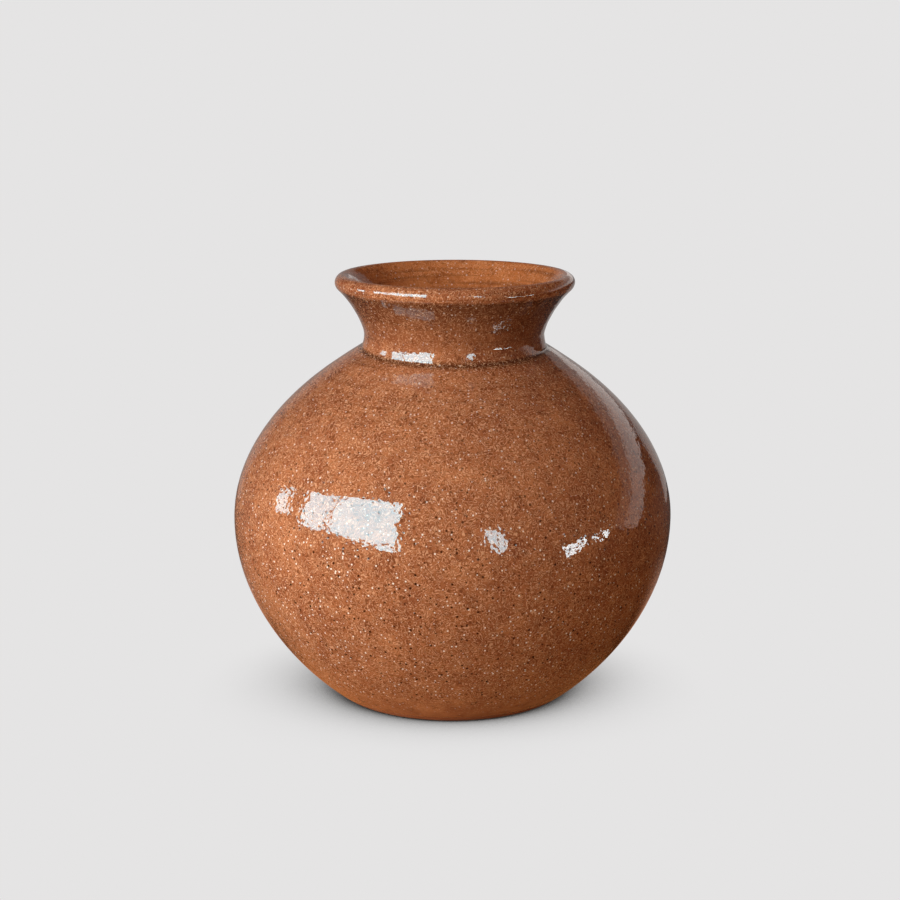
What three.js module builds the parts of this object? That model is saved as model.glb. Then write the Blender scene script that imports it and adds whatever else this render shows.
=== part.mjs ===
// A glazed earthenware cantaro vase: a round belly wider than it is tall, a short waisted neck with a
// welt at its root, and a thick rolled lip. Millimetres, +Z up, origin at the middle of the foot.
//
// The pot is raised in sections, as jars of this kind are. A floor pat carries the lower half of the
// belly, that carries the upper half, and the neck and the lip's coil follow. Each section is luted to
// the next on a level edge, with a ridge that lies in a groove and a film of slip between the two. The
// neck stands in a seat cut in the shoulder, and a welt of clay is pressed into the corner outside it
// and smoothed to a hollow.
// One glaze coat lies on the outside, down to a bare foot, and another lines the inside.
// Every piece is turned about +Z, so each one is a closed outline of radius and height.
import * as THREE from "three";

// Outside of the finished pot, over the glaze
const HEIGHT = 233.2;
const BELLY_DIAMETER = 240.2;
const BELLY_HEIGHT = 100;
const BASE_DIAMETER = 122.6;
const NECK_DIAMETER = 98;
const LIP_DIAMETER = 130;
const LIP_ROLL = 8.9;

// Welt at the neck's root: how far its foot and its top edge stand out, its height, the hollow of its
// face and the depth of its bed in the neck
const WELT_FOOT = 1.8;
const WELT_STEP = 0.1;
const WELT_HEIGHT = 5.4;
const WELT_HOLLOW = 1.2;
const WELT_BED = 2;

// Shoulder's edge, where the belly meets the welt's foot, and the neck's narrowest line above it
const SHOULDER_DIAMETER = NECK_DIAMETER + 2 * WELT_FOOT;
const SHOULDER_DROP = 39.6; // below the lip's crest
const SHOULDER_HEIGHT = HEIGHT - SHOULDER_DROP;
const NECK_RISE = 6.7; // above the shoulder's edge
const NECK_HEIGHT = SHOULDER_HEIGHT + NECK_RISE;

// Slopes of the outside in degrees from level: at the base, at the shoulder and at the neck's flare
const BASE_SLOPE = 34;
const SHOULDER_SLOPE = 29.3;
const FLARE_SLOPE = 42.7;

// How firmly each end of a curve keeps to its slope, as a share of the distance between its ends
const LOWER_PULL = { start: 0.328, end: 0.355 };
const UPPER_PULL = { start: 0.307, end: 0.423 };
const NECK_PULL = { start: 0.204, end: 0.327 };

// Clay, glaze and the room between pieces
const WALL = 6.5;
const FLOOR = 10;
const GLAZE = 0.4;
const GLAZE_GAP = 0.1;
const SLIP_FILM = 0.3;

// Foot: the bare strip under the glaze, the rounded edge and the hollow in the middle
const BARE_FOOT = 4.5;
const FOOT_ROUNDING = 4.5;
const FOOT_HOLLOW_DIAMETER = 92;
const FOOT_HOLLOW_DEPTH = 1.5;

// Joints: the ridge on a section's lower edge, the seat for the neck and the depth of the lip's coil
const RIDGE_WIDTH = 3;
const RIDGE_DEPTH = 2;
const SEAT_DEPTH = 1.8;
const SEAT_OVERHANG = 1.5;
const LIP_COIL_DEPTH = 14.2;
const LIP_JOINT_HEIGHT = HEIGHT - LIP_COIL_DEPTH;

// Facets round the axis, and straight steps along each curve
const FACETS = 48;
const BELLY_STEPS = 9;
const WELT_STEPS = 3;
const NECK_STEPS = 5;
const LIP_STEPS = 4;
const LIP_INNER_STEPS = 2;
const ROUNDING_STEPS = 3;
const SHORT_STEP = 0.1;

const COAT = GLAZE + GLAZE_GAP;
const UP = 90;

const point = (radius, height) => new THREE.Vector2(radius, height);
const reversed = (line) => line.slice().reverse();

// The unit vector at an angle in degrees from level, outwards being 0.
function heading(degrees) {
  const angle = THREE.MathUtils.degToRad(degrees);
  return point(Math.cos(angle), Math.sin(angle));
}

// A curve that leaves start and reaches end along the given angles, in equal steps.
function curve(start, startAngle, end, endAngle, pull, steps) {
  const distance = start.distanceTo(end);
  const leave = start.clone().addScaledVector(heading(startAngle), pull.start * distance);
  const arrive = end.clone().addScaledVector(heading(endAngle), -pull.end * distance);
  return new THREE.CubicBezierCurve(start, leave, arrive, end).getSpacedPoints(steps);
}

// An arc of the rolled lip between two angles, at a radius from the middle of the roll.
function lipArc(radius, from, to, steps) {
  const middle = point((LIP_DIAMETER - LIP_ROLL) / 2, HEIGHT - LIP_ROLL / 2);
  return Array.from({ length: steps + 1 }, (_, i) =>
    middle.clone().addScaledVector(heading(from + ((to - from) * i) / steps), radius),
  );
}

// A parallel to a line at a distance on its left: towards the axis, on a line that is followed upwards.
function inset(line, distance) {
  const sides = line.slice(1).map((p, i) => p.clone().sub(line[i]).normalize());
  return line.map((p, i) => {
    const before = sides[Math.max(i - 1, 0)];
    const after = sides[Math.min(i, sides.length - 1)];
    const along = before.clone().add(after).normalize();
    const reach = distance / along.dot(after);
    return p.clone().add(point(-along.y, along.x).multiplyScalar(reach));
  });
}

// The point of a rising line at a height. Past its ends the line runs on straight.
function at(line, height) {
  const above = line.findIndex((p) => p.y >= height);
  const end = above < 0 ? line.length - 1 : Math.max(above, 1);
  const [a, b] = [line[end - 1], line[end]];
  return point(THREE.MathUtils.mapLinear(height, a.y, b.y, a.x, b.x), height);
}

// The stretch of a rising line between two heights.
function between(line, low, high) {
  const inside = line.filter((p) => p.y > low + SHORT_STEP && p.y < high - SHORT_STEP);
  return [at(line, low), ...inside, at(line, high)];
}

// A corner replaced by a curve that starts and ends a reach away from it.
function rounded(before, corner, after, reach) {
  const start = corner.clone().addScaledVector(before.clone().sub(corner).normalize(), reach);
  const end = corner.clone().addScaledVector(after.clone().sub(corner).normalize(), reach);
  return new THREE.QuadraticBezierCurve(start, corner, end).getSpacedPoints(ROUNDING_STEPS);
}

// Outside of the finished pot, from the table up to the lip's crest
const base = point(BASE_DIAMETER / 2, 0);
const widest = point(BELLY_DIAMETER / 2, BELLY_HEIGHT);
const shoulder = point(SHOULDER_DIAMETER / 2, SHOULDER_HEIGHT);
const neck = point(NECK_DIAMETER / 2, NECK_HEIGHT);
const weltTop = point(neck.x + WELT_STEP, shoulder.y + WELT_HEIGHT);

const lowerBelly = curve(base, BASE_SLOPE, widest, UP, LOWER_PULL, BELLY_STEPS);
const upperBelly = curve(widest, UP, shoulder, 180 - SHOULDER_SLOPE, UPPER_PULL, BELLY_STEPS);
const belly = [...lowerBelly, ...upperBelly.slice(1)];

const weltSide = weltTop.clone().sub(shoulder).normalize();
const weltBend = shoulder
  .clone()
  .lerp(weltTop, 0.5)
  .add(point(-weltSide.y, weltSide.x).multiplyScalar(WELT_HOLLOW));
const welt = new THREE.QuadraticBezierCurve(shoulder, weltBend, weltTop).getSpacedPoints(WELT_STEPS);

const lipRoot = FLARE_SLOPE - UP;
const lipInside = FLARE_SLOPE + UP;
const lipFoot = lipArc(LIP_ROLL / 2, lipRoot, UP, LIP_STEPS)[0];
const flare = curve(neck, UP, lipFoot, FLARE_SLOPE, NECK_PULL, NECK_STEPS);
const body = [...belly, ...welt.slice(1), ...flare];

// The outside at a depth under the finished surface, ending at an angle on the lip's roll
function outside(depth, end) {
  return [...inset(body, depth), ...lipArc(LIP_ROLL / 2 - depth, lipRoot, end, LIP_STEPS).slice(1)];
}

// Clay: its outer face lies under the glaze, and its inner face is a wall's thickness away
const clayOuter = outside(COAT, UP);
const throat = neck.x - COAT - WALL;
const clayBelly = inset(belly, COAT + WALL);
const lipInner = lipArc(LIP_ROLL / 2 - COAT, lipInside, UP, LIP_INNER_STEPS);
const clayThroat = curve(point(throat, neck.y), UP, lipInner[0], FLARE_SLOPE, NECK_PULL, NECK_STEPS);

// The opening in the shoulder, and the seat that its edge makes for the neck
const corner = clayOuter[belly.length - 1];
const seat = corner.y - SEAT_DEPTH;
const shoulderEdge = at(clayOuter, corner.y - SLIP_FILM);
const opening = throat + SEAT_OVERHANG;
const bellyTop = THREE.MathUtils.mapLinear(
  opening,
  clayBelly.at(-2).x,
  clayBelly.at(-1).x,
  clayBelly.at(-2).y,
  clayBelly.at(-1).y,
);
const clayInner = [...clayThroat, ...lipInner.slice(1)];

// A level joint across the wall: the groove in the lower section's edge, from the outside inwards,
// and the ridge that lies in it on the next section.
function levelJoint(outer, inner, height) {
  const middle = (at(outer, height).x + at(inner, height).x) / 2;
  const face = (level) => [
    point(middle + RIDGE_WIDTH / 2, level),
    point(middle, level - RIDGE_DEPTH),
    point(middle - RIDGE_WIDTH / 2, level),
  ];
  return { top: height, groove: face(height), foot: height + SLIP_FILM, ridge: face(height + SLIP_FILM) };
}

const floorJoint = levelJoint(clayOuter, clayBelly, FLOOR);
const bellyJoint = levelJoint(clayOuter, clayBelly, BELLY_HEIGHT);
const lipJoint = levelJoint(clayOuter, clayInner, LIP_JOINT_HEIGHT);

const vase = new THREE.Group();
vase.name = "cantaro_vase";

// Turns a closed outline, followed anticlockwise, about +Z.
function turn(name, outline, colour, roughness) {
  const closed = outline[0].x === 0 ? outline : [...outline, outline[0].clone()];
  const geometry = new THREE.LatheGeometry(closed, FACETS).rotateX(Math.PI / 2);
  const material = new THREE.MeshStandardMaterial({ color: colour, roughness, metalness: 0 });
  const mesh = new THREE.Mesh(geometry, material);
  mesh.name = name;
  vase.add(mesh);
}

const BARE_CLAY = { colour: 0xa8623c, roughness: 0.9 };
const GLAZED_CLAY = { colour: 0x9a5530, roughness: 0.12 };
const turnClay = (name, outline) => turn(name, outline, BARE_CLAY.colour, BARE_CLAY.roughness);
const turnGlaze = (name, outline) => turn(name, outline, GLAZED_CLAY.colour, GLAZED_CLAY.roughness);

// Floor pat, with a hollow under the middle so that it stands on a ring
function floorPat() {
  const edge = between(clayOuter, 0, floorJoint.top);
  const hollow = FOOT_HOLLOW_DIAMETER / 2;
  const ring = point(hollow + FOOT_HOLLOW_DEPTH, 0);
  turnClay("floor_pat", [
    point(0, FOOT_HOLLOW_DEPTH),
    point(hollow, FOOT_HOLLOW_DEPTH),
    ring,
    ...rounded(ring, edge[0], edge[1], FOOT_ROUNDING),
    ...edge.slice(1),
    ...floorJoint.groove,
    at(clayBelly, floorJoint.top),
    point(0, floorJoint.top),
  ]);
}

// Lower half of the belly, from the floor pat to the widest line
function bellyLower() {
  turnClay("belly_lower", [
    ...between(clayOuter, floorJoint.foot, bellyJoint.top),
    ...bellyJoint.groove,
    ...reversed(between(clayBelly, floorJoint.foot, bellyJoint.top)),
    ...reversed(floorJoint.ridge),
  ]);
}

// Upper half of the belly, from the widest line to the opening, with the neck's seat
function bellyUpper() {
  turnClay("belly_upper", [
    ...between(clayOuter, bellyJoint.foot, shoulderEdge.y),
    point(shoulderEdge.x, seat),
    point(opening, seat),
    ...reversed(between(clayBelly, bellyJoint.foot, bellyTop)),
    ...reversed(bellyJoint.ridge),
  ]);
}

// Neck, which stands in the seat and is cut back below its waist to take the welt
function neckCollar() {
  const bed = neck.x - COAT - WELT_BED;
  turnClay("neck_collar", [
    point(opening, seat + SLIP_FILM),
    point(bed, seat + SLIP_FILM),
    point(bed, weltTop.y),
    ...between(clayOuter, weltTop.y, lipJoint.top),
    ...lipJoint.groove,
    ...reversed(between(clayInner, neck.y, lipJoint.top)),
    point(throat, seat + SLIP_FILM + SEAT_OVERHANG),
  ]);
}

// Welt pressed into the corner between the neck and the shoulder
function neckWelt() {
  const bed = neck.x - COAT - WELT_BED + SLIP_FILM;
  const top = weltTop.y - SLIP_FILM;
  turnClay("neck_welt", [
    point(bed, seat + SLIP_FILM),
    point(corner.x, seat + SLIP_FILM),
    ...between(clayOuter, corner.y, top),
    point(bed, top),
  ]);
}

// Coil that is laid on the neck's edge and rolled over to make the lip
function lipCoil() {
  turnClay("lip_coil", [
    ...between(clayOuter, lipJoint.foot, clayOuter.at(-1).y),
    ...reversed(between(clayInner, lipJoint.foot, clayInner.at(-2).y)),
    ...reversed(lipJoint.ridge),
  ]);
}

// The two glaze coats stop just short of each other on the lip's crest
function glazeCoats() {
  const short = THREE.MathUtils.radToDeg(GLAZE_GAP / LIP_ROLL);
  const skin = outside(0, UP - short);
  const under = outside(GLAZE, UP - short);
  turnGlaze("outer_glaze", [
    at(skin, BARE_FOOT),
    ...skin.filter((p) => p.y > BARE_FOOT + SHORT_STEP),
    ...reversed(under.filter((p) => p.y > BARE_FOOT + SHORT_STEP)),
    at(under, BARE_FOOT),
  ]);

  const lined = [
    ...between(clayBelly, FLOOR, bellyTop),
    point(throat, seat + SLIP_FILM + SEAT_OVERHANG),
    ...clayThroat,
  ];
  const lining = (rise) => [
    ...inset(lined, rise),
    ...lipArc(LIP_ROLL / 2 - COAT + rise, lipInside, UP + short, LIP_INNER_STEPS).slice(1),
  ];
  const back = lining(GLAZE_GAP);
  const face = lining(COAT);
  turnGlaze("inner_glaze", [
    point(0, FLOOR + GLAZE_GAP),
    at(back, FLOOR + GLAZE_GAP),
    ...back.filter((p) => p.y > FLOOR + GLAZE_GAP + SHORT_STEP),
    ...reversed(face.filter((p) => p.y > FLOOR + COAT + SHORT_STEP)),
    at(face, FLOOR + COAT),
    point(0, FLOOR + COAT),
  ]);
}

floorPat();
bellyLower();
bellyUpper();
neckCollar();
neckWelt();
lipCoil();
glazeCoats();

export default vase;
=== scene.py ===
"""A cantaro vase of glazed red earthenware on a pale ground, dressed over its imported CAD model.

Every piece is an outline of radius and height that is carried round the vase's axis. The unevenness of
a hand-turned pot is one field of small shifts that all the pieces share, so they stay nested.
Lengths are in millimetres until a mesh is made. +Z is up, and the camera looks along +Y.
"""

import bpy
import numpy as np
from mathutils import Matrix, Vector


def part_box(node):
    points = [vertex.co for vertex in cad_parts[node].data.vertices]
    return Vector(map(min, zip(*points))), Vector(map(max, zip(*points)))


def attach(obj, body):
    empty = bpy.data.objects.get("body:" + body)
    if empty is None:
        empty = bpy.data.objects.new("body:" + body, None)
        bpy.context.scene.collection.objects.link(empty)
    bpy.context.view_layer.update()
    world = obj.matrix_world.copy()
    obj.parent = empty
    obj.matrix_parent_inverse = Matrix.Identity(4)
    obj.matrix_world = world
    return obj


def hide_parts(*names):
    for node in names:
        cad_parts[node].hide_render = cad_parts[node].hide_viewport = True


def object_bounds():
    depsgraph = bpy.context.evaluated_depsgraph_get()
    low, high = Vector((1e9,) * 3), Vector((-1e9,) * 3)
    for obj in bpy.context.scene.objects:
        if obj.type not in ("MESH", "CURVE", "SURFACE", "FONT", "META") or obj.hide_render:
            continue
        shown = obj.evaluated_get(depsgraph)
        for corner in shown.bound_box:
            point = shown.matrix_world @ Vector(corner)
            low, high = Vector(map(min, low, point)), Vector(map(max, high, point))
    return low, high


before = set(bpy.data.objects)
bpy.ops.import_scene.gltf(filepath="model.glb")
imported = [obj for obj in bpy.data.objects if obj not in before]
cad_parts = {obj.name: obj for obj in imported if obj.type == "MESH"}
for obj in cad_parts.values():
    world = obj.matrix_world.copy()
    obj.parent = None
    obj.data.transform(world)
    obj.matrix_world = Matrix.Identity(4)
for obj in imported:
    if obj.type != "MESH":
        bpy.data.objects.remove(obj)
cad_low, cad_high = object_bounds()
MM = 0.001

# Sizes of the pot, from the frame
HEIGHT = cad_high.z / MM
BELLY_RADIUS = cad_high.x / MM
BELLY_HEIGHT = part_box("belly_lower")[1].z / MM
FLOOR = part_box("floor_pat")[1].z / MM
BARE_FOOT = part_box("outer_glaze")[0].z / MM

# Sizes of the pot that the frame's boxes don't give
BASE_RADIUS = 61.3
NECK_RADIUS = 49
LIP_RADIUS = 65
ROLL_RADIUS = 4.45
SHOULDER_HEIGHT = HEIGHT - 39.6
NECK_HEIGHT = SHOULDER_HEIGHT + 6.7
WELT_FOOT = 1.4
WELT_STEP = 0.1
WELT_HEIGHT = 5.4
WELT_HOLLOW = 0.4
WELT_BED = 2
WALL = 6.5
GLAZE = 0.4
GLAZE_GAP = 0.1
COAT = GLAZE + GLAZE_GAP
SLIP_FILM = 0.3
FOOT_ROUNDING = 4.5
FOOT_HOLLOW_RADIUS = 46
FOOT_HOLLOW_DEPTH = 1.5
FOOT_INSET = 0.2
RIDGE_WIDTH = 3
RIDGE_DEPTH = 2
SEAT_DEPTH = 1.8
SEAT_OVERHANG = 1.5
LIP_JOINT_HEIGHT = HEIGHT - 14.2

# Slopes of the outside in degrees from level, and how firmly the ends of a curve keep to them
BASE_SLOPE = 34
SHOULDER_SLOPE = 29.3
FLARE_SLOPE = 42.7
LOWER_PULL = (0.328, 0.355)
UPPER_PULL = (0.307, 0.423)
NECK_PULL = (0.204, 0.327)

# Unevenness of the turning
LEAN = 1.6
RING_PITCH = 6.5
RING_DEPTH = 0.02
NECK_RING_DEPTH = 0.05
SWELL = 0.16
ROOT_DIP = 2.6
DIP_BELOW = 12
DIP_ABOVE = 26
RINGS_GROW = 25
EVEN_RADIUS = 30

# Rounding of the corners, and the turning marks under the foot
OUTSIDE_SOFTNESS = 0.9
INSIDE_SOFTNESS = 1.2
MARK_DEPTH = 0.12
MARK_PITCH = 2.8
MARK_CALM = 6
MARK_MARGIN = 1

# Steps in millimetres and counts of points, for the lines and the grids
CURVE_POINTS = 600
ARC_POINTS = 60
WELT_POINTS = 20
FINE_STEP = 0.2
BELLY_STEP = 1.1
NECK_STEP = 0.45
INSIDE_STEP = 3.0
GLAZE_COLUMNS = 240
CLAY_COLUMNS = 120
FLOOR_RINGS = 12
UNDERSIDE_RINGS = 70
ROUNDING_RINGS = 8

# Degrees between two faces from which their edge stays sharp
SHARP_ANGLE = 38


# Lines of radius and height


def heading(degrees):
    """The unit vector at an angle from level, outwards being 0."""
    angle = np.radians(degrees)
    return np.array([np.cos(angle), np.sin(angle)])


def spaced(line, step):
    """The same line with points a step apart: each is found by its distance along the line."""
    along = np.concatenate([[0], np.cumsum(np.hypot(*np.diff(line, axis=0).T))])
    places = np.linspace(0, along[-1], max(2, round(along[-1] / step) + 1))
    return np.stack([np.interp(places, along, axis) for axis in line.T], axis=1)


def curve(start, leave, end, arrive, pull):
    """A cubic Bezier that leaves and arrives at two angles, held to each by a share of the chord."""
    start, end = np.array(start, float), np.array(end, float)
    chord = np.linalg.norm(end - start)
    first = start + heading(leave) * pull[0] * chord
    second = end - heading(arrive) * pull[1] * chord
    t = np.linspace(0, 1, CURVE_POINTS)[:, None]
    s = 1 - t
    return spaced(s**3 * start + 3 * s * s * t * first + 3 * s * t * t * second + t**3 * end, FINE_STEP)


def lip_arc(radius, first, last):
    """An arc round the middle of the lip's roll, between two angles in degrees."""
    angles = np.linspace(first, last, ARC_POINTS)
    return lip_middle + radius * heading(angles).T


def softened(line, reach):
    """The line with each point at the mean of its neighbours within a reach, weighted by nearness.

    The ends stay, because the line is carried on past each end by a half turn of itself about it.
    """
    line = spaced(line, FINE_STEP)
    count = round(reach / FINE_STEP)
    weights = np.bartlett(2 * count + 3)[1:-1]
    before = 2 * line[0] - line[count:0:-1]
    after = 2 * line[-1] - line[-2 : -count - 2 : -1]
    padded = np.concatenate([before, line, after])
    return np.stack([np.convolve(axis, weights / weights.sum(), "valid") for axis in padded.T], axis=1)


def beside(line, distance):
    """A parallel on the line's left, towards the axis on a line that rises."""
    along = np.gradient(line, axis=0)
    along /= np.linalg.norm(along, axis=1, keepdims=True)
    return line + distance * np.stack([-along[:, 1], along[:, 0]], axis=1)


def cut(line, low, high):
    """The stretch of a rising line between two heights."""
    inside = line[(line[:, 1] > low + FINE_STEP) & (line[:, 1] < high - FINE_STEP)]
    ends = [[np.interp(height, line[:, 1], line[:, 0]), height] for height in (low, high)]
    return np.concatenate([ends[:1], inside, ends[1:]])


def thinned(line):
    """Every third point of the belly's part of a line, and every point from the shoulder up."""
    return line[(np.arange(len(line)) % 3 == 0) | (line[:, 1] > SHOULDER_HEIGHT - WALL)]


def level_joint(outer, inner, height):
    """The groove across a level edge, from the outside inwards: a V in the middle of the wall."""
    middle = (np.interp(height, *outer.T[::-1]) + np.interp(height, *inner.T[::-1])) / 2
    half = RIDGE_WIDTH / 2
    return np.array([[middle + half, height], [middle, height - RIDGE_DEPTH], [middle - half, height]])


# Outside of the finished pot, and the inner face of its clay

widest = (BELLY_RADIUS, BELLY_HEIGHT)
shoulder = np.array([NECK_RADIUS + WELT_FOOT, SHOULDER_HEIGHT])
welt_top = np.array([NECK_RADIUS + WELT_STEP, SHOULDER_HEIGHT + WELT_HEIGHT])
lip_middle = np.array([LIP_RADIUS - ROLL_RADIUS, HEIGHT - ROLL_RADIUS])

belly = np.concatenate([
    curve((BASE_RADIUS, 0), BASE_SLOPE, widest, 90, LOWER_PULL),
    curve(widest, 90, shoulder, 180 - SHOULDER_SLOPE, UPPER_PULL)[1:],
])
welt_rise = np.linspace(0, 1, WELT_POINTS)[:, None]
welt_side = (welt_top - shoulder) / np.linalg.norm(welt_top - shoulder)
welt_inward = WELT_HOLLOW * np.array([-welt_side[1], welt_side[0]])
welt = shoulder + welt_rise * (welt_top - shoulder) + 2 * welt_rise * (1 - welt_rise) * welt_inward
lip = lip_arc(ROLL_RADIUS, FLARE_SLOPE - 90, 90)
flare = curve((NECK_RADIUS, NECK_HEIGHT), 90, lip[0], FLARE_SLOPE, NECK_PULL)
outside_line = softened(np.concatenate([belly, welt[1:], flare, lip[1:]]), OUTSIDE_SOFTNESS)
on_belly = outside_line[:, 1] < SHOULDER_HEIGHT
outside = np.concatenate([
    spaced(outside_line[on_belly], BELLY_STEP),
    spaced(outside_line[~on_belly], NECK_STEP),
])
clay_outer = thinned(beside(outside, COAT))

throat = NECK_RADIUS - COAT - WALL
seat = SHOULDER_HEIGHT - SEAT_DEPTH - COAT
opening = throat + SEAT_OVERHANG
neck_foot = seat + SLIP_FILM
belly_inside = beside(belly, COAT + WALL)
belly_inside = belly_inside[(belly_inside[:, 1] > FLOOR) & (belly_inside[:, 0] > opening)]
lip_inside = lip_arc(ROLL_RADIUS - COAT, FLARE_SLOPE + 90, 90)
throat_line = curve((throat, NECK_HEIGHT), 90, lip_inside[0], FLARE_SLOPE, NECK_PULL)
inside_line = softened(
    np.concatenate([
        [[np.interp(FLOOR, *beside(belly, COAT + WALL).T[::-1]), FLOOR]],
        belly_inside,
        [[throat, neck_foot + SEAT_OVERHANG]],
        throat_line,
        lip_inside[1:],
    ]),
    INSIDE_SOFTNESS,
)
in_belly = inside_line[:, 1] < SHOULDER_HEIGHT - 2 * WALL
clay_inner = np.concatenate([
    spaced(inside_line[in_belly], INSIDE_STEP),
    spaced(inside_line[~in_belly], NECK_STEP),
])
belly_top = np.interp(-opening, -clay_inner[:, 0], clay_inner[:, 1])

floor_joint = level_joint(clay_outer, clay_inner, FLOOR)
belly_joint = level_joint(clay_outer, clay_inner, BELLY_HEIGHT)
lip_joint = level_joint(clay_outer, clay_inner, LIP_JOINT_HEIGHT)


# Outlines of the pieces, followed anticlockwise


def floor_pat():
    """The pat: a turned underside with a hollow and a ring, a bare foot flush with the glaze, a floor."""
    across = np.linspace(0, FOOT_HOLLOW_RADIUS - MARK_MARGIN, UNDERSIDE_RINGS)
    marks = MARK_DEPTH * np.sin(2 * np.pi * across / MARK_PITCH) * np.minimum(1, across / MARK_CALM)
    under = np.stack([across, FOOT_HOLLOW_DEPTH + marks], axis=1)
    ring = np.array([FOOT_HOLLOW_RADIUS + FOOT_HOLLOW_DEPTH, 0])
    strip = cut(outside, 0, BARE_FOOT - GLAZE_GAP)
    corner = np.array([BASE_RADIUS - FOOT_INSET, 0])
    start = corner - [FOOT_ROUNDING, 0]
    end = np.array([np.interp(FOOT_ROUNDING / 2, *outside.T[::-1]), FOOT_ROUNDING / 2])
    t = np.linspace(0, 1, ROUNDING_RINGS)[:, None]
    rounding = (1 - t) ** 2 * start + 2 * t * (1 - t) * corner + t * t * end
    return np.concatenate([
        under, [[FOOT_HOLLOW_RADIUS, FOOT_HOLLOW_DEPTH]], [ring],
        rounding, strip[strip[:, 1] > FOOT_ROUNDING / 2 + FINE_STEP],
        cut(clay_outer, BARE_FOOT - GLAZE_GAP, FLOOR), floor_joint,
        clay_inner[:1], [[0, FLOOR]],
    ])


def belly_lower():
    """From the floor pat's joint to the joint at the widest line."""
    return np.concatenate([
        cut(clay_outer, FLOOR + SLIP_FILM, BELLY_HEIGHT), belly_joint,
        cut(clay_inner, FLOOR + SLIP_FILM, BELLY_HEIGHT)[::-1], floor_joint[::-1] + [0, SLIP_FILM],
    ])


def belly_upper():
    """From the joint at the widest line to the opening in the shoulder, with the neck's seat."""
    outer = cut(clay_outer, BELLY_HEIGHT + SLIP_FILM, SHOULDER_HEIGHT - COAT)
    return np.concatenate([
        outer, [[outer[-1, 0], seat], [opening, seat]],
        cut(clay_inner, BELLY_HEIGHT + SLIP_FILM, belly_top)[::-1], belly_joint[::-1] + [0, SLIP_FILM],
    ])


def neck_collar():
    """The waisted neck on its seat, cut back below the waist to take the welt."""
    bed = NECK_RADIUS - COAT - WELT_BED
    return np.concatenate([
        [[opening, neck_foot], [bed, neck_foot], [bed, welt_top[1]]],
        cut(clay_outer, welt_top[1], LIP_JOINT_HEIGHT), lip_joint,
        cut(clay_inner, NECK_HEIGHT, LIP_JOINT_HEIGHT)[::-1], [[throat, neck_foot + SEAT_OVERHANG]],
    ])


def neck_welt():
    """The band pressed into the corner between the neck and the shoulder."""
    bed = NECK_RADIUS - COAT - WELT_BED + SLIP_FILM
    top = welt_top[1] - SLIP_FILM
    face = cut(clay_outer, SHOULDER_HEIGHT, top)
    return np.concatenate([[[bed, neck_foot], [face[0, 0], neck_foot]], face, [[bed, top]]])


def lip_coil():
    """The coil on the neck's edge, rolled over to make the lip."""
    foot = LIP_JOINT_HEIGHT + SLIP_FILM
    outer = clay_outer[clay_outer[:, 1] > foot + FINE_STEP]
    inner = clay_inner[clay_inner[:, 1] > foot + FINE_STEP]
    low = [[np.interp(foot, *line.T[::-1]), foot] for line in (clay_outer, clay_inner)]
    return np.concatenate([low[:1], outer, inner[-2::-1], low[1:], lip_joint[::-1] + [0, SLIP_FILM]])


def outer_glaze():
    """The coat outside, from the bare foot to the lip's crest and back along its underside."""
    skin = cut(outside, BARE_FOOT, HEIGHT)
    return np.concatenate([skin, cut(thinned(beside(outside, GLAZE)), BARE_FOOT, HEIGHT - GLAZE)[::-1]])


def inner_glaze():
    """The lining: its underside from the axis to the lip's crest, and its face back to the axis."""
    back = beside(clay_inner, GLAZE_GAP)
    face = beside(clay_inner, COAT)
    back = back[back[:, 1] > FLOOR + GLAZE_GAP]
    face = face[face[:, 1] > FLOOR + COAT]
    floor_back = np.linspace([0, FLOOR + GLAZE_GAP], [back[0, 0], FLOOR + GLAZE_GAP], FLOOR_RINGS)
    floor_face = np.linspace([face[0, 0], FLOOR + COAT], [0, FLOOR + COAT], FLOOR_RINGS)
    return np.concatenate([floor_back, back[1:], face[:0:-1], floor_face])


# Meshes


def turning(angle, height):
    """Shift of the radius: a spiral of throwing rings, stronger at the neck, over slow swells of the wall.

    Each term is a sine of the angle and the height. The swells have two and three lobes round the pot.
    The lengths that divide the height, the shares and the phases are chosen.
    """
    rise = np.clip((height - SHOULDER_HEIGHT) / RINGS_GROW + 1, 0, 1)
    depth = RING_DEPTH + (NECK_RING_DEPTH - RING_DEPTH) * rise
    phase = 2 * np.pi * height / RING_PITCH + angle + 1.1 * np.sin(height / 19) + 0.5 * np.sin(2 * angle)
    rings = depth * np.sin(phase) * (0.6 + 0.4 * np.sin(height / 31 + angle))
    swells = np.sin(2 * angle + height / 45) + 0.7 * np.sin(3 * angle - height / 28 + 1.3)
    dents = 0.35 * np.sin(7 * angle + height / 11) * np.sin(height / 17 + 2 * angle)
    return rings + SWELL * 0.5 * (swells + dents)


def dip(angle, height):
    """Shift of the height: the neck's root lies lower in front and higher behind, by the sine of the angle.

    Down the shoulder it fades out as a square, so the shoulder is flattest just in front of the root.
    Up the neck it fades out smoothly.
    """
    root = SHOULDER_HEIGHT
    below = np.interp(height, [root - DIP_BELOW, root], [0, 1])
    above = np.interp(height, [root + WELT_HEIGHT, root + DIP_ABOVE], [1, 0])
    return ROOT_DIP * np.sin(angle) * below**2 * above * above * (3 - 2 * above)


def lean(height):
    """Shift along X: a lean that grows with the square of the height."""
    return LEAN * (height / HEIGHT) ** 2


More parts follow.
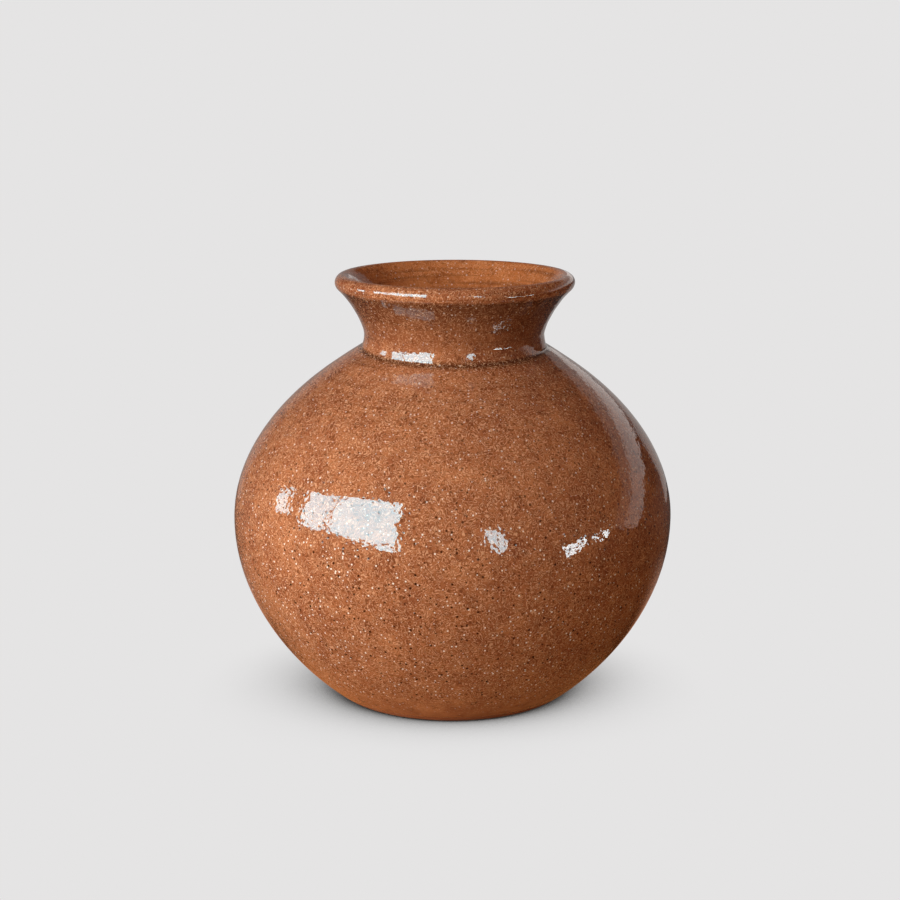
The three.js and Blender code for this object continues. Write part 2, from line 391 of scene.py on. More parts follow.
def carried_round(name, outline, columns):
    """A mesh from a closed outline: radius times the cosine and sine of each angle, with the shared shifts.

    An outline that starts and ends on the axis gets one point at each end, so the poles are closed.
    """
    on_axis = outline[0, 0] == 0
    ring = outline[1:-1] if on_axis else outline
    rows = len(ring)
    angle = np.linspace(0, 2 * np.pi, columns, endpoint=False)[None, :]
    radius, height = ring[:, :1], ring[:, 1:]
    radius = radius + turning(angle, height) * np.minimum(1, radius / EVEN_RADIUS)
    across = radius * np.cos(angle) + lean(height)
    points = np.stack([across, radius * np.sin(angle), height + dip(angle, height)], axis=-1)
    points = points.reshape(-1, 3)

    first = np.arange(rows - 1 if on_axis else rows)[:, None]
    second = (first + 1) % rows
    here = np.arange(columns)[None, :]
    there = (here + 1) % columns
    quads = np.stack([first * columns + here, first * columns + there,
                      second * columns + there, second * columns + here], axis=-1).reshape(-1, 4)
    faces = quads.tolist()
    if on_axis:
        poles = [[lean(height), 0, height] for height in outline[[0, -1], 1]]
        points = np.concatenate([points, poles])
        low_pole, high_pole = rows * columns, rows * columns + 1
        top = (rows - 1) * columns
        fan = np.arange(columns)
        beside_fan = (fan + 1) % columns
        faces += np.stack([np.full(columns, low_pole), beside_fan, fan], axis=1).tolist()
        faces += np.stack([np.full(columns, high_pole), top + fan, top + beside_fan], axis=1).tolist()

    mesh = bpy.data.meshes.new(name)
    mesh.from_pydata(points * MM, [], faces)
    mesh.shade_smooth()
    mesh.set_sharp_from_angle(angle=np.radians(SHARP_ANGLE))
    piece = bpy.data.objects.new(name, mesh)
    bpy.context.collection.objects.link(piece)
    return piece


# Materials

# Turns from pale to dark that the curls, grain and painted glints, make over the range of their noise
CURLS = 4
# Where the mottling is cut from its noise, chosen for light and dark areas near those of the photo
CLOUD_PATTERN = 10.2

# Heights between which the turning streaks grow stronger
STREAKS_FAINT_BELOW = 130
STREAKS_FULL_ABOVE = 200

# Glaze pooling and painted shade: its colour, its heights on the neck, and how far it spreads about the
# crease
POOLED_GLAZE_AND_SHADE = 0x401804
POOL_AND_SHADE_FOOT = SHOULDER_HEIGHT - 2
LIP_UNDERSIDE = HEIGHT - 2 * ROLL_RADIUS
POOL_AND_SHADE_FADE = 2
CREASE_CORE = 0.3
CREASE_EDGE = 1.7

# Wiped foot: no grain below, all of it above, on a height that a noise times the unevenness has lowered
WIPED_BELOW = -6
GRAINY_ABOVE = 12
WIPE_UNEVENNESS = 20


def linear(colour):
    """An sRGB hex value as linear red, green, blue and 1."""
    srgb = np.array([colour >> 16 & 255, colour >> 8 & 255, colour & 255]) / 255
    value = np.where(srgb <= 0.04045, srgb / 12.92, ((srgb + 0.055) / 1.055) ** 2.4)
    return (*value.tolist(), 1.0)


def per_metre(size):
    """The scale of a pattern whose features are a size apart in millimetres."""
    return 1 / (size * MM)


def add(tree, kind, inputs, **settings):
    """Adds a node with its settings. Each input is a value, or an output to link."""
    made = tree.nodes.new(kind)
    for name, value in settings.items():
        setattr(made, name, value)
    for key, value in inputs.items():
        if isinstance(value, bpy.types.NodeSocket):
            tree.links.new(value, made.inputs[key])
        else:
            made.inputs[key].default_value = value
    return made


def new_material(name):
    """An empty node material and its tree."""
    material = bpy.data.materials.new(name)
    material.use_nodes = True
    material.node_tree.nodes.clear()
    return material, material.node_tree


def ray_marks(tree):
    """Marks of a ray, 0 or 1: from the camera, also through clear things, and mirrored by the glaze."""
    path = add(tree, "ShaderNodeLightPath", {}).outputs
    looked_at = add(tree, "ShaderNodeMath", {0: path["Is Camera Ray"], 1: path["Is Transmission Ray"]},
                    operation="MAXIMUM")
    return looked_at.outputs[0], path["Is Glossy Ray"]


def glazed_earthenware(name, dark_clay, pale_clay, pooling_and_shade, curls_shown):
    """Clear glaze, dipped or poured, over red earthenware with grog, turned on a wheel.

    The glaze is wet-looking and lies in shallow waves, so a lamp's reflection has ragged edges. The
    clay shows through it: orange-brown and mottled, with drawn-out turning streaks, dark curled grain,
    pale curls that are partly grain and partly painted glints, pale grog, near-white specks that are
    partly grog and partly painted glints, and dark pin-holes. At the foot it was wiped smooth. Round
    the neck the glaze is darker, most of all under the lip and in the crease at the root: partly glaze
    pooling there and partly painted shade. The last two values say how strongly the glaze pooling with
    its painted shade, and the curls with their painted glints, show, from 0 to 1.
    """
    material, tree = new_material(name)
    place = add(tree, "ShaderNodeTexCoord", {}).outputs["Object"]
    axes = add(tree, "ShaderNodeSeparateXYZ", {0: place}).outputs
    height = axes["Z"]

    # Mottling of the clay, 45 mm and 9 mm across
    clouds = add(tree, "ShaderNodeTexNoise", {
        "Vector": place, "W": CLOUD_PATTERN, "Scale": per_metre(45), "Detail": 2.0,
    }, noise_dimensions="4D")
    blots = add(tree, "ShaderNodeTexNoise", {"Vector": place, "Scale": per_metre(9), "Detail": 3.0})
    tone = add(tree, "ShaderNodeMath", {0: clouds.outputs["Fac"], 1: blots.outputs["Fac"]},
               operation="ADD")
    tone = add(tree, "ShaderNodeMapRange", {"Value": tone.outputs[0], "From Min": 0.72, "From Max": 1.28})
    colour = add(tree, "ShaderNodeMix", {0: tone.outputs[0], 6: linear(dark_clay), 7: linear(pale_clay)},
                 data_type="RGBA")

    # Dark blotches 4 mm across, where their noise is high
    blotches = add(tree, "ShaderNodeTexNoise", {"Vector": place, "Scale": per_metre(4), "Detail": 2.0})
    blotch = add(tree, "ShaderNodeMapRange", {
        "Value": blotches.outputs["Fac"], "From Min": 0.55, "From Max": 0.72, "To Max": 0.4,
    })
    colour = add(tree, "ShaderNodeMix", {0: blotch.outputs[0], 6: colour.outputs[2], 7: linear(0x5C2C12)},
                 data_type="RGBA")

    # Turning streaks: 2 mm high and drawn out 70 mm round the pot, strongest from the shoulder up
    drawn = add(tree, "ShaderNodeMapping", {
        "Vector": place, "Scale": (per_metre(70), per_metre(70), per_metre(2)),
    })
    streaks = add(tree, "ShaderNodeTexNoise", {"Vector": drawn.outputs[0], "Scale": 1.0, "Detail": 2.0})
    high_up = add(tree, "ShaderNodeMapRange", {
        "Value": height, "From Min": STREAKS_FAINT_BELOW * MM, "From Max": STREAKS_FULL_ABOVE * MM,
        "To Min": 0.12, "To Max": 0.55,
    })
    streak = add(tree, "ShaderNodeMapRange", {
        "Value": streaks.outputs["Fac"], "From Min": 0.52, "From Max": 0.72,
    })
    streak = add(tree, "ShaderNodeMath", {0: streak.outputs[0], 1: high_up.outputs[0]},
                 operation="MULTIPLY")
    colour = add(tree, "ShaderNodeMix", {0: streak.outputs[0], 6: colour.outputs[2], 7: linear(0x6E3818)},
                 data_type="RGBA")

    # Glaze pooling with painted shade under the lip, darker from the neck's root up to the lip's underside
    rising = add(tree, "ShaderNodeMapRange", {
        "Value": height, "From Min": POOL_AND_SHADE_FOOT * MM, "From Max": LIP_UNDERSIDE * MM, "To Max": pooling_and_shade,
    })
    ending = add(tree, "ShaderNodeMapRange", {
        "Value": height, "From Min": (LIP_UNDERSIDE + POOL_AND_SHADE_FADE) * MM, "From Max": LIP_UNDERSIDE * MM,
    })
    pool_and_shade = add(tree, "ShaderNodeMath", {0: rising.outputs[0], 1: ending.outputs[0]}, operation="MULTIPLY")
    colour = add(tree, "ShaderNodeMix", {
        0: pool_and_shade.outputs[0], 6: colour.outputs[2], 7: linear(POOLED_GLAZE_AND_SHADE),
    }, data_type="RGBA")

    # Glaze run together with painted shade in the crease at the neck's root, about 3 mm wide and lower in
    # front
    off = add(tree, "ShaderNodeMath", {0: axes["Y"], 1: -ROOT_DIP / shoulder[0], 2: height},
              operation="MULTIPLY_ADD")
    off = add(tree, "ShaderNodeMath", {0: off.outputs[0], 1: SHOULDER_HEIGHT * MM}, operation="SUBTRACT")
    off = add(tree, "ShaderNodeMath", {0: off.outputs[0]}, operation="ABSOLUTE")
    crease = add(tree, "ShaderNodeMapRange", {
        "Value": off.outputs[0], "From Min": CREASE_EDGE * MM, "From Max": CREASE_CORE * MM,
        "To Max": pooling_and_shade,
    })
    colour = add(tree, "ShaderNodeMix", {
        0: crease.outputs[0], 6: colour.outputs[2], 7: linear(POOLED_GLAZE_AND_SHADE),
    }, data_type="RGBA")

    # Curls and specks, partly grain and grog and partly painted glints: wiped off above the foot, to an
    # uneven height. The curls are fainter on the neck below the lip, and the specks more and more so from
    # the widest line up
    foot = add(tree, "ShaderNodeMath", {0: clouds.outputs["Fac"], 1: -WIPE_UNEVENNESS * MM, 2: height},
               operation="MULTIPLY_ADD")
    covered = add(tree, "ShaderNodeMapRange", {
        "Value": foot.outputs[0], "From Min": WIPED_BELOW * MM, "From Max": GRAINY_ABOVE * MM,
    })
    kept = []
    for start, loss, where in ((SHOULDER_HEIGHT, 0.4, ending.outputs[0]), (BELLY_HEIGHT, 0.6, 1.0)):
        lost = add(tree, "ShaderNodeMapRange", {
            "Value": height, "From Min": start * MM, "From Max": NECK_HEIGHT * MM, "To Max": loss,
        })
        lost = add(tree, "ShaderNodeMath", {0: lost.outputs[0], 1: where}, operation="MULTIPLY")
        left = add(tree, "ShaderNodeMath", {0: 1.0, 1: lost.outputs[0]}, operation="SUBTRACT")
        left = add(tree, "ShaderNodeMath", {0: covered.outputs[0], 1: left.outputs[0]},
                   operation="MULTIPLY")
        kept.append(left.outputs[0])
    curly, speckled = kept

    # Curls: level lines of a slow noise, about half a millimetre apart, pale and dark by turns, and broken
    # by another noise. The dark curls are grain; the pale ones are partly grain and partly painted glints
    curls = add(tree, "ShaderNodeTexNoise", {
        "Vector": place, "Scale": per_metre(2.2), "Detail": 0.0, "Distortion": 0.6,
    })
    lines = add(tree, "ShaderNodeMath", {0: curls.outputs["Fac"], 1: 2 * np.pi * CURLS},
                operation="MULTIPLY")
    lines = add(tree, "ShaderNodeMath", {0: lines.outputs[0]}, operation="SINE")
    breaks = add(tree, "ShaderNodeTexNoise", {"Vector": place, "Scale": per_metre(1.4), "Detail": 0.0})
    broken = add(tree, "ShaderNodeMapRange", {
        "Value": breaks.outputs["Fac"], "From Min": 0.3, "From Max": 0.5,
    })
    broken = add(tree, "ShaderNodeMath", {0: broken.outputs[0], 1: curly}, operation="MULTIPLY")
    # Pale strokes are partly grain and partly painted glints; dark strokes are grain
    for side, shade, strength in ((1, 0xEEBC94, 0.66), (-1, 0x4E230D, 0.58)):
        stroke = add(tree, "ShaderNodeMapRange", {
            "Value": lines.outputs[0], "From Min": 0.35 * side, "From Max": side,
            "To Max": strength * curls_shown,
        })
        stroke = add(tree, "ShaderNodeMath", {0: stroke.outputs[0], 1: broken.outputs[0]},
                     operation="MULTIPLY")
        colour = add(tree, "ShaderNodeMix", {0: stroke.outputs[0], 6: colour.outputs[2], 7: linear(shade)},
                     data_type="RGBA")

    # Grog, pin-holes and painted glints: round cells whose own random number sets the radius. The
    # near-white specks are partly grog and partly painted glints. A row gives their spacing and largest
    # radius in mm, the share of cells that is empty, the soft edge in mm, the colour, its strength, and the
    # height in mm
    bumps = 0.0
    for spread, largest, rare, edge, shade, strength, lift in (
        (1.6, 0.38, 0.4, 0.15, 0xE0B898, 0.6, 0.0),
        # Near-white specks: partly grog, partly painted glints
        (2.1, 0.58, 0.5, 0.12, 0xFFF8F0, 1.0, 0.01),
        (2.6, 0.9, 0.45, 0.4, 0x3E1C0C, 1.0, -0.05),
    ):
        cells = add(tree, "ShaderNodeTexVoronoi", {"Vector": place, "Scale": per_metre(spread)})
        chance = add(tree, "ShaderNodeSeparateColor", {0: cells.outputs["Color"]})
        radius = add(tree, "ShaderNodeMapRange", {"Value": chance.outputs[0], "From Min": rare})
        radius = add(tree, "ShaderNodeMath", {0: radius.outputs[0], 1: 0.5}, operation="POWER")
        depth = add(tree, "ShaderNodeMath", {0: radius.outputs[0], 1: largest / spread},
                    operation="MULTIPLY")
        depth = add(tree, "ShaderNodeMath", {0: depth.outputs[0], 1: cells.outputs["Distance"]},
                    operation="SUBTRACT")
        grain = add(tree, "ShaderNodeMapRange", {
            "Value": depth.outputs[0], "From Max": edge / spread, "To Max": strength,
        })
        grain = add(tree, "ShaderNodeMath", {0: grain.outputs[0], 1: speckled}, operation="MULTIPLY")
        colour = add(tree, "ShaderNodeMix", {0: grain.outputs[0], 6: colour.outputs[2], 7: linear(shade)},
                     data_type="RGBA")
        lifted = add(tree, "ShaderNodeMath", {0: grain.outputs[0], 1: lift, 2: bumps},
                     operation="MULTIPLY_ADD")
        bumps = lifted.outputs[0]

    # Waves of the glaze, 5 mm and 2 mm long and less than 0.1 mm high
    for length, amount in ((5.0, 0.08), (2.0, 0.07)):
        waves = add(tree, "ShaderNodeTexNoise", {
            "Vector": place, "Scale": per_metre(length), "Detail": 0.0,
        })
        lifted = add(tree, "ShaderNodeMath", {0: waves.outputs["Fac"], 1: amount, 2: bumps},
                     operation="MULTIPLY_ADD")
        bumps = lifted.outputs[0]
    bump = add(tree, "ShaderNodeBump", {"Height": bumps, "Distance": MM, "Strength": 1.0})
    shader = add(tree, "ShaderNodeBsdfPrincipled", {
        "Base Color": colour.outputs[2], "Roughness": 0.02, "IOR": 1.5, "Normal": bump.outputs[0],
    })
    add(tree, "ShaderNodeOutputMaterial", {0: shader.outputs[0]})
    return material


def bare_earthenware():
    """Fired red clay, turned and wiped with a wet sponge, unglazed.

    It is matt, more so in places, and a cleaner orange than under glaze, with pale grog and a fine grain.
    """
    material, tree = new_material("bare_red_earthenware_turned_and_sponged")
    place = add(tree, "ShaderNodeTexCoord", {}).outputs["Object"]
    clouds = add(tree, "ShaderNodeTexNoise", {"Vector": place, "Scale": per_metre(14), "Detail": 4.0})
    colour = add(tree, "ShaderNodeMix", {
        0: clouds.outputs["Fac"], 6: linear(0x9C5428), 7: linear(0xB46A3A),
    }, data_type="RGBA")
    grit = add(tree, "ShaderNodeTexVoronoi", {"Vector": place, "Scale": per_metre(1.6)})
    pale = add(tree, "ShaderNodeMapRange", {
        "Value": grit.outputs["Distance"], "From Min": 0.2, "From Max": 0.1, "To Max": 0.35,
    })
    colour = add(tree, "ShaderNodeMix", {0: pale.outputs[0], 6: colour.outputs[2], 7: linear(0xD09468)},
                 data_type="RGBA")
    grain = add(tree, "ShaderNodeTexNoise", {"Vector": place, "Scale": per_metre(0.9), "Detail": 3.0})
    bump = add(tree, "ShaderNodeBump", {
        "Height": grain.outputs["Fac"], "Distance": 0.08 * MM, "Strength": 1.0,
    })
    rough = add(tree, "ShaderNodeMapRange", {"Value": clouds.outputs["Fac"], "To Min": 0.5, "To Max": 0.8})
    shader = add(tree, "ShaderNodeBsdfPrincipled", {
        "Base Color": colour.outputs[2], "Roughness": rough.outputs[0], "IOR": 1.5,
        "Normal": bump.outputs[0],
    })
    add(tree, "ShaderNodeOutputMaterial", {0: shader.outputs[0]})
    return material


# Colours of the ground: as it is seen, in deep shadow, mirrored near the clay, and as it scatters light
PALE_GROUND = 0xE5E4E4
SHADOW = 0x2A2622
CLAY_LIT_GROUND = 0xC87A44
MATT_GROUND = 0xD4C6B0

# How fast the ground darkens as the vase hides more of the space above it
SHADOW_DEPTH = 7.0

# Levels that the glaze mirrors: close on the left and on the right, behind, far behind and in front
CLOSE_GROUND_MIRRORED = (0.8, 0.36)
BACK_GROUND_MIRRORED = 0.7
FAR_GROUND_MIRRORED = 0.08
FRONT_GROUND_MIRRORED = 0.035

# Distances from the axis in metres, and parts of the unit vector from it, over which these change
CLOSE_REACH = (0.12, 0.085)
BACK_REACH = (0.18, 0.32)
CLAY_LIT_REACH = (0.6, 0.1)
LEFT_TO_RIGHT = (-0.9, 0.1)
FRONT_TO_BACK = (0.3, 0.65)


def pale_paper():
    """Seamless studio paper: the camera sees its even pale colour, darkened where the vase stands close.

    The glaze mirrors it dim, but brighter and in the clay's colour close to the vase and just behind it.
    Light that it scatters comes from plain matt paper. From below it is clear, so that the foot can be
    looked at.
    """
    material, tree = new_material("seamless_studio_paper")
    looked_at, glossy = ray_marks(tree)

    # Shadow: how far the vase hides the space on the camera's side and, closer by, on the far side
    shade = add(tree, "ShaderNodeMath", {0: looked_at, 1: SHADOW_DEPTH}, operation="MULTIPLY")
    for tilt, reach, power in ((-2.0, 0.12, 2.0), (2.0, 0.06, 1.0)):
        leaning = add(tree, "ShaderNodeCombineXYZ", {1: tilt, 2: 1.0})
        near = add(tree, "ShaderNodeAmbientOcclusion", {"Distance": reach, "Normal": leaning.outputs[0]},
                   samples=16)
        hidden = add(tree, "ShaderNodeMath", {0: 1.0, 1: near.outputs["AO"]}, operation="SUBTRACT")
        hidden = add(tree, "ShaderNodeMath", {0: hidden.outputs[0], 1: power}, operation="POWER")
        shade = add(tree, "ShaderNodeMath", {0: shade.outputs[0], 1: hidden.outputs[0]},
                    operation="MULTIPLY")
    seen = add(tree, "ShaderNodeMix", {0: shade.outputs[0], 6: linear(PALE_GROUND), 7: linear(SHADOW)},
               data_type="RGBA")

    # What the glaze mirrors, by distance and bearing
    place = add(tree, "ShaderNodeTexCoord", {}).outputs["Object"]
    away = add(tree, "ShaderNodeVectorMath", {0: place}, operation="LENGTH").outputs["Value"]
    bearing = add(tree, "ShaderNodeVectorMath", {0: place}, operation="NORMALIZE")
    bearing = add(tree, "ShaderNodeSeparateXYZ", {0: bearing.outputs[0]}).outputs
    behind = add(tree, "ShaderNodeMapRange", {
        "Value": away, "From Min": BACK_REACH[0], "From Max": BACK_REACH[1],
        "To Min": BACK_GROUND_MIRRORED, "To Max": FAR_GROUND_MIRRORED,
    })
    mirrored = add(tree, "ShaderNodeMapRange", {
        "Value": bearing["Y"], "From Min": FRONT_TO_BACK[0], "From Max": FRONT_TO_BACK[1],
        "To Min": FRONT_GROUND_MIRRORED, "To Max": behind.outputs[0],
    })
    at_side = add(tree, "ShaderNodeMapRange", {
        "Value": bearing["X"], "From Min": LEFT_TO_RIGHT[0], "From Max": LEFT_TO_RIGHT[1],
        "To Min": CLOSE_GROUND_MIRRORED[0], "To Max": CLOSE_GROUND_MIRRORED[1],
    })
    close = add(tree, "ShaderNodeMapRange", {
        "Value": away, "From Min": CLOSE_REACH[0], "From Max": CLOSE_REACH[1],
        "To Max": at_side.outputs[0],
    })
    mirrored = add(tree, "ShaderNodeMath", {0: mirrored.outputs[0], 1: close.outputs[0]},
                   operation="MAXIMUM")
    clay_lit = add(tree, "ShaderNodeMapRange", {
        "Value": away, "From Min": CLAY_LIT_REACH[0], "From Max": CLAY_LIT_REACH[1],
    })
    clay_lit = add(tree, "ShaderNodeMath", {0: clay_lit.outputs[0], 1: glossy}, operation="MULTIPLY")
    seen = add(tree, "ShaderNodeMix", {
        0: clay_lit.outputs[0], 6: seen.outputs[2], 7: linear(CLAY_LIT_GROUND),
    }, data_type="RGBA")
    level = add(tree, "ShaderNodeMath", {0: glossy, 1: mirrored.outputs[0], 2: looked_at},
                operation="MULTIPLY_ADD")
    glow = add(tree, "ShaderNodeEmission", {"Color": seen.outputs[2], "Strength": level.outputs[0]})

    matt = add(tree, "ShaderNodeBsdfDiffuse", {"Color": linear(MATT_GROUND)})
    shown = add(tree, "ShaderNodeMath", {0: looked_at, 1: glossy}, operation="MAXIMUM")
    paper = add(tree, "ShaderNodeMixShader", {0: shown.outputs[0], 1: matt.outputs[0], 2: glow.outputs[0]})
    clear = add(tree, "ShaderNodeBsdfTransparent", {})
    under = add(tree, "ShaderNodeNewGeometry", {}).outputs["Backfacing"]
    paper = add(tree, "ShaderNodeMixShader", {0: under, 1: paper.outputs[0], 2: clear.outputs[0]})
    add(tree, "ShaderNodeOutputMaterial", {0: paper.outputs[0]})
    return material


# The vase

coat = glazed_earthenware(
    "clear_glaze_dipped_over_turned_red_earthenware",
    dark_clay=0x9A593A, pale_clay=0xC47E54, pooling_and_shade=0.8, curls_shown=1.0,
)
# The lining's clay is paler than the outside's: painted light inside the mouth
lining = glazed_earthenware(
    "clear_glaze_poured_inside_red_earthenware",
    dark_clay=0xB66C3C, pale_clay=0xD08450, pooling_and_shade=0.0, curls_shown=0.6,
)
bare = bare_earthenware()
for outline, material, slot, columns in (
    (floor_pat, bare, "bare_clay", GLAZE_COLUMNS),
    (belly_lower, bare, "bare_clay", CLAY_COLUMNS),
    (belly_upper, bare, "bare_clay", CLAY_COLUMNS),
    (neck_collar, bare, "bare_clay", CLAY_COLUMNS),
    (neck_welt, bare, "bare_clay", CLAY_COLUMNS),
    (lip_coil, bare, "bare_clay", CLAY_COLUMNS),
    (outer_glaze, coat, "brown_glaze", GLAZE_COLUMNS),
    (inner_glaze, lining, "brown_glaze", GLAZE_COLUMNS),
):
    node = outline.__name__
    piece = carried_round(f"turned_{node}", outline(), columns)
    piece.data.materials.append(material)
    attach(piece, "root")
    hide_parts(node)


# Ground, light and camera

# Lengths in metres: half the ground's side, and how far the strips stand from the belly's middle
GROUND_REACH = 5
PANELS_AT = 1.4
STRIPS_AT = 0.45
BACKDROP_AT = 0.6
BELLY_MIDDLE = np.array([0, 0, 0.115])

# How much brighter a strip is when it has been mirrored twice
SECOND_MIRRORED = 1.2

# Colours of light in linear red, green and blue
PANEL_LIGHT = (0.48, 0.9, 1.03)
FRONT_LIGHT = (0.62, 0.92, 1.02)
STRIP_LIGHT = (0.8, 0.95, 1.0)
SCREEN_LIGHT = (1, 0.95, 0.92)
KEY_LIGHT = (1, 1, 0.98)
BOUNCE_LIGHT = (1, 1, 1)
FILL_LIGHT = (1, 0.55, 0.24, 1)

# Levels of the surroundings: as a fill for matt surfaces, and mirrored in front, at the sides and behind
FILL = 0.2
FRONT_MIRRORED = 0.06
SIDES_MIRRORED = 0.04
BACK_MIRRORED = 0.35

# Y of the unit vector of a mirrored ray, over which these change
FRONT_TO_SIDES = (-0.1, 0.5)
SIDES_TO_BACK = (0.82, 0.95)

# Degrees that the camera looks down
CAMERA_TILT = 12.2


def direction(azimuth, elevation):
    """The unit vector towards an azimuth, 0 at the camera's side and 90 at its right, and an elevation."""
    a, e = np.radians(azimuth), np.radians(elevation)
    return np.array([np.sin(a) * np.cos(e), -np.cos(a) * np.cos(e), np.sin(e)])


def reflection(name, upper, lower, far, radiance, colour):
    """A glowing strip that is seen in the glaze alone, between an upper and a lower edge.

    Each edge is a row of azimuths and elevations, seen from the belly and carried out to one distance.
    """
    edges = [[BELLY_MIDDLE + direction(*corner) * far for corner in edge] for edge in (upper, lower)]
    count = len(upper)
    first = np.arange(count - 1)
    faces = np.stack([first, first + 1, first + count + 1, first + count], axis=1)
    mesh = bpy.data.meshes.new(name)
    mesh.from_pydata(np.reshape(edges, (-1, 3)), [], faces.tolist())
    material, tree = new_material(f"{name}_glow")
    bounces = add(tree, "ShaderNodeLightPath", {}).outputs["Glossy Depth"]
    strength = add(tree, "ShaderNodeMapRange", {
        "Value": bounces, "From Min": 1.0, "From Max": 2.0,
        "To Min": radiance, "To Max": SECOND_MIRRORED * radiance,
    })
    glow = add(tree, "ShaderNodeEmission", {"Color": (*colour, 1.0), "Strength": strength.outputs[0]})
    add(tree, "ShaderNodeOutputMaterial", {0: glow.outputs[0]})
    mesh.materials.append(material)
    strip = bpy.data.objects.new(name, mesh)
    strip.visible_camera = strip.visible_diffuse = strip.visible_shadow = strip.visible_transmission = False
    bpy.context.collection.objects.link(strip)


def soft_lamp(name, azimuths, elevations, far, radiance, colour):
    """An upright lamp that fills the angles between two azimuths and two elevations.

    It lights the clay, and the glaze doesn't mirror it. Its power is the radiance times pi times its area.
    """
    azimuth = sum(azimuths) / 2
    half = np.radians(azimuths[1] - azimuths[0]) / 2
    width = 2 * far * np.sin(half)
    low, high = far * np.tan(np.radians(elevations))
    lamp = bpy.data.lights.new(name, "AREA")
    lamp.shape = "RECTANGLE"
    lamp.size, lamp.size_y = width, high - low
    lamp.color = colour
    lamp.energy = radiance * np.pi * width * (high - low)
    made = bpy.data.objects.new(name, lamp)
    made.location = BELLY_MIDDLE + direction(azimuth, 0) * far * np.cos(half) + [0, 0, (low + high) / 2]
    made.rotation_euler = (np.radians(90), 0, np.radians(azimuth))
    made.visible_camera = made.visible_glossy = False
    bpy.context.collection.objects.link(made)


ground_mesh = bpy.data.meshes.new("ground")
corners = [(GROUND_REACH * x, GROUND_REACH * y, 0) for x, y in ((-1, -1), (1, -1), (1, 1), (-1, 1))]
ground_mesh.from_pydata(corners, [], [(0, 1, 2, 3)])
ground_mesh.materials.append(pale_paper())
ground = bpy.data.objects.new("ground", ground_mesh)
bpy.context.collection.objects.link(ground)

# Panels high on the left and one in front
reflection("panel_wide", [(-64, 26), (-28.7, 31)], [(-64.5, 4.6), (-26.7, -0.6)],
           PANELS_AT, 15.5, PANEL_LIGHT)
reflection("panel_narrow", [(-83, 22), (-65.3, 26)], [(-83, 5), (-66, 4.8)],
           PANELS_AT, 13, PANEL_LIGHT)
reflection("panel_far", [(-105, 12), (-95, 18)], [(-100, 3), (-92, 6)],
           PANELS_AT, 9, PANEL_LIGHT)
reflection("panel_front", [(15, 14.5), (22, 15), (26.6, 3.5)], [(15.5, 13), (18, 3.5), (22.6, -1.7)],
           PANELS_AT, 12, FRONT_LIGHT)

# Strips low on the right
reflection("low_strip", [(49.7, -4), (61.6, -1)], [(50.8, -6.2), (61.5, -2.8)],
           STRIPS_AT, 17, STRIP_LIGHT)
reflection("low_strip_under", [(51.3, -7.4), (61.5, -4)], [(52.4, -9.4), (61.4, -5.7)],
           STRIPS_AT, 17, STRIP_LIGHT)
reflection("low_strip_far", [(65.4, -2.5), (68.5, -1.9)], [(66.5, -4.9), (69, -4.3)],
           STRIPS_AT, 16, STRIP_LIGHT)
reflection("low_strip_end", [(71.5, -1.3), (75.5, -0.5)], [(71.5, -3.8), (74.5, -3.2)],
           STRIPS_AT, 16, STRIP_LIGHT)

# A dim curved screen on the right, and the backdrop's two sides
screen_top = [(85, -1), (96.5, 11), (113, 24), (128, 29), (147, 29), (175, 20)]
screen_middle = [(93, -3), (103, 7), (117, 17), (131, 21), (148, 20), (175, 12)]
screen_foot = [(104, -6), (112, 0), (123, 7), (136, 10), (149, 9), (175, 5)]
reflection("screen_inner", screen_top, screen_middle, PANELS_AT, 0.35, SCREEN_LIGHT)
reflection("screen_outer", screen_middle, screen_foot, PANELS_AT, 0.9, SCREEN_LIGHT)
reflection("backdrop_left", [(-139, 8), (-172, 8)], [(-139, -9), (-172, -9)],
           BACKDROP_AT, 0.25, SCREEN_LIGHT)
reflection("backdrop_right", [(139, 8), (172, 8)], [(139, -9), (172, -9)],
           BACKDROP_AT, 0.4, SCREEN_LIGHT)

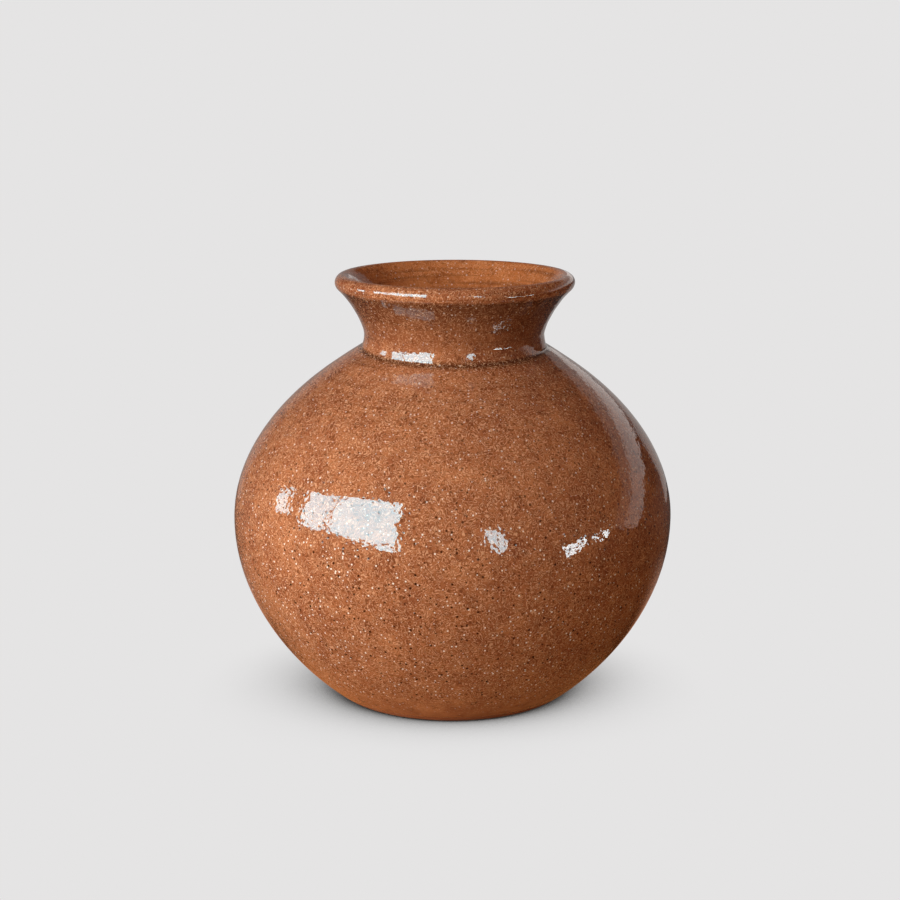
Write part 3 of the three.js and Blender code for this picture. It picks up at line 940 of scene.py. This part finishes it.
soft_lamp("key", (-75, -18), (3, 45), 1.3, 3.9, KEY_LIGHT)
soft_lamp("low_bounce", (-115, -45), (-12, -4), 0.5, 3.4, BOUNCE_LIGHT)

# Surroundings: pale for the camera, dim where the glaze mirrors them, and a warm fill for matt surfaces
world = bpy.data.worlds.new("studio")
bpy.context.scene.world = world
world.use_nodes = True
tree = world.node_tree
tree.nodes.clear()
looked_at, glossy = ray_marks(tree)
aim = add(tree, "ShaderNodeTexCoord", {}).outputs["Generated"]
aim = add(tree, "ShaderNodeSeparateXYZ", {0: aim}).outputs["Y"]
mirrored = add(tree, "ShaderNodeMapRange", {
    "Value": aim, "From Min": FRONT_TO_SIDES[0], "From Max": FRONT_TO_SIDES[1],
    "To Min": FRONT_MIRRORED, "To Max": SIDES_MIRRORED,
})
behind = add(tree, "ShaderNodeMapRange", {
    "Value": aim, "From Min": SIDES_TO_BACK[0], "From Max": SIDES_TO_BACK[1], "To Max": BACK_MIRRORED,
})
mirrored = add(tree, "ShaderNodeMath", {0: mirrored.outputs[0], 1: behind.outputs[0]}, operation="MAXIMUM")
level = add(tree, "ShaderNodeMath", {0: glossy, 1: mirrored.outputs[0], 2: looked_at},
            operation="MULTIPLY_ADD")
shown = add(tree, "ShaderNodeMath", {0: looked_at, 1: glossy}, operation="MAXIMUM")
fill = add(tree, "ShaderNodeBackground", {"Color": FILL_LIGHT, "Strength": FILL})
pale = add(tree, "ShaderNodeBackground", {"Color": linear(PALE_GROUND), "Strength": level.outputs[0]})
surround = add(tree, "ShaderNodeMixShader", {0: shown.outputs[0], 1: fill.outputs[0], 2: pale.outputs[0]})
add(tree, "ShaderNodeOutputWorld", {0: surround.outputs[0]})

camera = bpy.data.objects.new("camera", bpy.data.cameras.new("camera"))
camera.data.lens = 81.8
camera.data.sensor_width = 36
camera.location = (-0.0011, -1.1, 0.3733)
camera.rotation_euler = (np.radians(90 - CAMERA_TILT), 0, 0)
bpy.context.collection.objects.link(camera)
bpy.context.scene.camera = camera
bpy.context.scene.view_settings.view_transform = "Standard"
